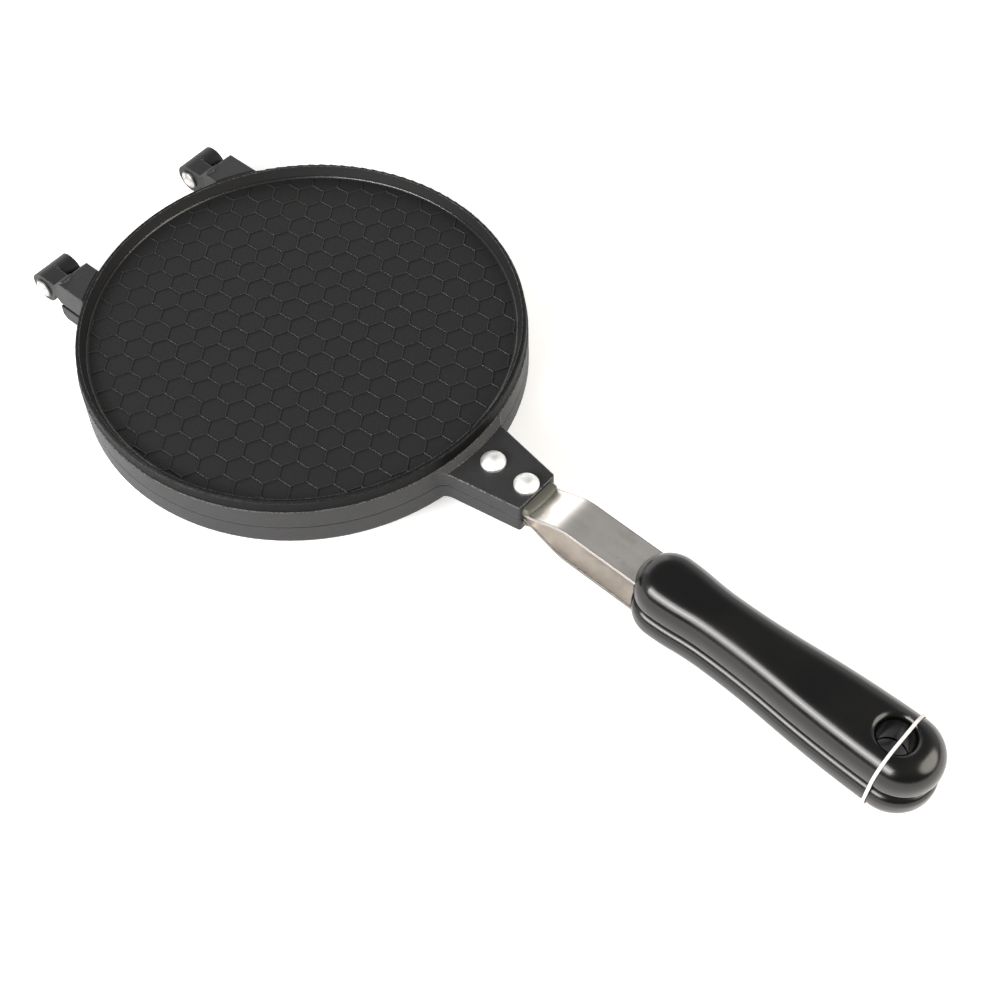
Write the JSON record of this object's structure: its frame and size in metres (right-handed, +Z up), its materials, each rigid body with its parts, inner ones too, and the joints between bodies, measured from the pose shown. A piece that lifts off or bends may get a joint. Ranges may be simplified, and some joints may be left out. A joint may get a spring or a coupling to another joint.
{
  "type": "egg roll pan",
  "caption": "Hinged round iron for wafers and egg rolls: honeycomb-lined cast plates, riveted metal straps, and a split grip with a hanging hole held by a tie.",
  "frame": {"origin": "middle of the lower plate's foot ring, on the plane of the ring", "axes": "+X from the hinges towards the grips, +Z up through the closed plates, +Y to the left of the handle seen from the hinges"},
  "size_m": [0.4086, 0.18, 0.0408],
  "materials": {
    "coated_casting": "satin charcoal non-stick coating on cast aluminium",
    "strap_metal": "polished",
    "rivet_metal": "smooth, bright",
    "grip_plastic": "glossy black heat-proof plastic",
    "tie_plastic": "matte white"
  },
  "bodies": {
    "lower": {"lower_plate": "coated_casting", "lower_strap": "strap_metal", "lower_rivet_inner": "rivet_metal", "lower_rivet_outer": "rivet_metal", "hinge_pin_left": "rivet_metal", "hinge_pin_right": "rivet_metal", "lower_grip": "grip_plastic", "tie": "tie_plastic"},
    "upper": {"upper_plate": "coated_casting", "upper_strap": "strap_metal", "upper_rivet_inner": "rivet_metal", "upper_rivet_outer": "rivet_metal", "upper_grip": "grip_plastic"}
  },
  "joints": [
    {"name": "hinge", "type": "hinge", "parent": "lower", "child": "upper", "pos_m": [-0.1015, 0, 0.0143], "axis": [0, -1, 0], "range_deg": [0, 180], "deforming": ["tie"]}
  ]
}
